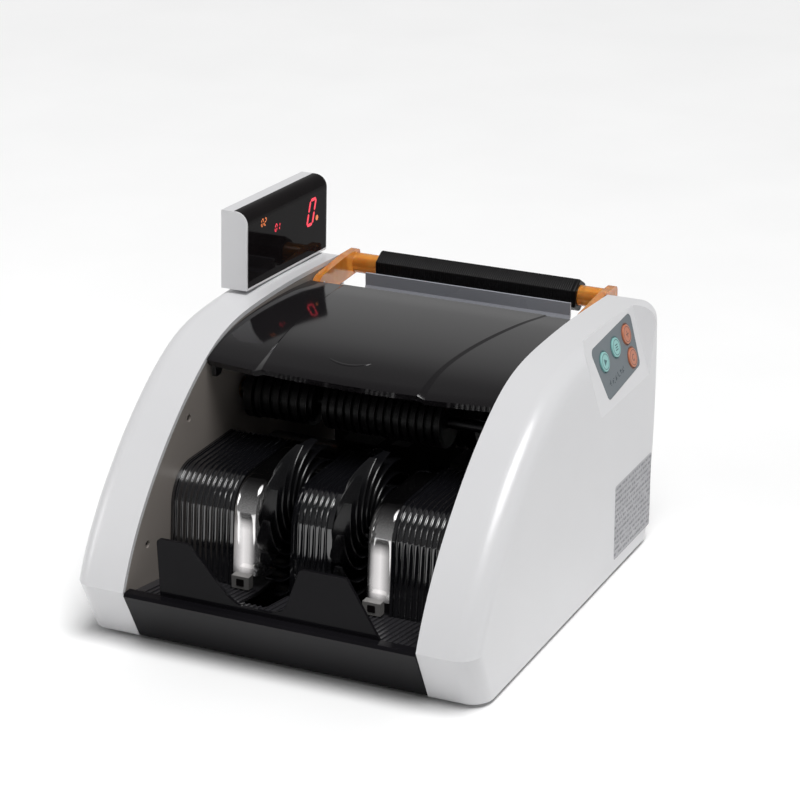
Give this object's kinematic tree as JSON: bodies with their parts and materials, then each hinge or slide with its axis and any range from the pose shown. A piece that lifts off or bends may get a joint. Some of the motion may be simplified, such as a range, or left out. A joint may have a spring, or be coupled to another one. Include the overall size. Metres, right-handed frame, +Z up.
{
  "type": "banknote counter",
  "caption": "Desktop banknote counter: white side covers, black lid, open stacker with finger wheels, fold-up carry handle, swivel display and side keypad.",
  "frame": {"origin": "on the desk, under the middle of the machine's overall footprint", "axes": "+X to the machine's right as its user faces the stacker from the front looking back, +Y to the back, +Z up"},
  "size_m": [0.27, 0.3278, 0.2255],
  "materials": {
    "white_shell": "moulded white, semi-gloss",
    "black_gloss": "polished black",
    "black_matte": "satin black",
    "inner_wall": "powder-coated warm grey",
    "base_steel": "black powder coat",
    "amber": "translucent amber, polished",
    "rubber_black": "soft black rubber",
    "finger_rubber": "smooth flexible black",
    "steel": "ground",
    "zinc": "zinc plated",
    "bronze": "sintered bronze",
    "window": "smoked, polished",
    "lens": "smoked lens, polished",
    "pcb": "green solder mask",
    "core": "laminated steel and wound copper",
    "keypad": "grey membrane",
    "teal": "teal",
    "orange": "orange",
    "hopper_grey": "grey"
  },
  "bodies": {
    "machine": {"side_cover_left": "white_shell", "side_cover_right": "white_shell", "base_plate": "base_steel", "rubber_feet": "rubber_black", "front_panel": "black_gloss", "side_plate_right": "inner_wall", "side_plate_left": "inner_wall", "rear_panel": "white_shell", "tie_bars": "steel", "stacker_floor": "black_gloss", "stacker_guide_left": "black_gloss", "stacker_guide_middle": "black_gloss", "stacker_guide_right": "black_gloss", "sensor_windows": "window", "stack_sensors": "black_matte", "note_stop_plate": "black_gloss", "shaft_bushes": "bronze", "drive_belts": "rubber_black", "main_motor": "zinc", "hopper_back_plate": "hopper_grey", "hopper_floor": "black_matte", "retard_pads": "rubber_black", "retard_bracket": "zinc", "sensor_bridges": "black_matte", "pivot_pins": "steel", "display_post": "steel", "keypad_panel": "keypad", "main_board": "pcb", "power_transformer": "core", "power_inlet": "black_matte", "switch_frame": "black_matte", "case_screws": "zinc"},
    "cover": {"top_cover": "black_gloss"},
    "handle": {"handle_arms": "amber", "handle_grip": "black_matte", "handle_rod": "steel"},
    "display": {"display_shell": "white_shell", "display_lens": "lens", "display_board": "pcb"},
    "start_key": {"key_start": "teal"},
    "mode_key": {"key_mode": "teal"},
    "add_key": {"key_add": "orange"},
    "reset_key": {"key_reset": "orange"},
    "rocker": {"power_switch": "black_gloss"},
    "adjuster": {"gap_adjust_knob": "black_matte"},
    "motor_rotor": {"motor_spindle": "steel"},
    "drum": {"drum_shaft": "steel", "drum_rollers": "rubber_black", "drum_pulley": "black_matte"},
    "exit_roll": {"exit_shaft": "steel", "exit_rollers": "black_matte", "exit_pulley": "black_matte"},
    "pinch_roll": {"pinch_shaft": "steel", "pinch_rollers": "rubber_black"},
    "kicker": {"kicker_shaft": "steel", "kicker_rollers": "rubber_black", "kicker_pulley": "black_matte"},
    "impeller": {"impeller_shaft": "steel", "impeller_wheels": "finger_rubber", "impeller_pulley": "black_matte"}
  },
  "joints": [
    {"name": "cover_lift", "type": "hinge", "parent": "machine", "child": "cover", "pos_m": [0, 0.086, 0.159], "axis": [-1, 0, 0], "range_deg": [0, 65]},
    {"name": "handle_swing", "type": "hinge", "parent": "machine", "child": "handle", "pos_m": [0, 0.103, 0.156], "axis": [1, 0, 0], "range_deg": [0, 75]},
    {"name": "display_swivel", "type": "hinge", "parent": "machine", "child": "display", "pos_m": [-0.1195, 0.13, 0.1666], "axis": [0, 0.0471, 0.9989], "range_deg": [-90, 0]},
    {"name": "start_press", "type": "slide", "parent": "machine", "child": "start_key", "axis": [-0.9613, 0, -0.2756], "range_m": [0, 0.0009], "stiffness_N_per_m": 600},
    {"name": "mode_press", "type": "slide", "parent": "machine", "child": "mode_key", "axis": [-0.9613, 0, -0.2756], "range_m": [0, 0.0009], "stiffness_N_per_m": 600},
    {"name": "add_press", "type": "slide", "parent": "machine", "child": "add_key", "axis": [-0.9613, 0, -0.2756], "range_m": [0, 0.0009], "stiffness_N_per_m": 600},
    {"name": "reset_press", "type": "slide", "parent": "machine", "child": "reset_key", "axis": [-0.9613, 0, -0.2756], "range_m": [0, 0.0009], "stiffness_N_per_m": 600},
    {"name": "rocker_tilt", "type": "hinge", "parent": "machine", "child": "rocker", "pos_m": [-0.0435, 0.127, 0.031], "axis": [1, 0, 0], "range_deg": [-7, 7]},
    {"name": "gap_adjust", "type": "hinge", "parent": "machine", "child": "adjuster", "pos_m": [0, 0.132, 0.107], "axis": [0, 1, 0], "range_deg": [-180, 180]},
    {"name": "motor_spin", "type": "hinge", "parent": "machine", "child": "motor_rotor", "pos_m": [0, 0.03, 0.048], "axis": [1, 0, 0], "continuous": true},
    {"name": "drum_spin", "type": "hinge", "parent": "machine", "child": "drum", "pos_m": [0, 0.048, 0.103], "axis": [1, 0, 0], "continuous": true},
    {"name": "exit_spin", "type": "hinge", "parent": "machine", "child": "exit_roll", "pos_m": [0, -0.002, 0.118], "axis": [1, 0, 0], "continuous": true},
    {"name": "pinch_spin", "type": "hinge", "parent": "machine", "child": "pinch_roll", "pos_m": [0, -0.002, 0.144], "axis": [1, 0, 0], "continuous": true},
    {"name": "kicker_spin", "type": "hinge", "parent": "machine", "child": "kicker", "pos_m": [0, 0.098, 0.095], "axis": [1, 0, 0], "continuous": true},
    {"name": "impeller_spin", "type": "hinge", "parent": "machine", "child": "impeller", "pos_m": [0, -0.074, 0.067], "axis": [1, 0, 0], "continuous": true}
  ],
  "couplings": [
    {"joint": "motor_spin", "follows": "drum_spin", "ratio": 2},
    {"joint": "exit_spin", "follows": "drum_spin", "ratio": 1},
    {"joint": "kicker_spin", "follows": "drum_spin", "ratio": 1},
    {"joint": "impeller_spin", "follows": "drum_spin", "ratio": 0.5},
    {"joint": "pinch_spin", "follows": "drum_spin", "ratio": -1.9767}
  ]
}
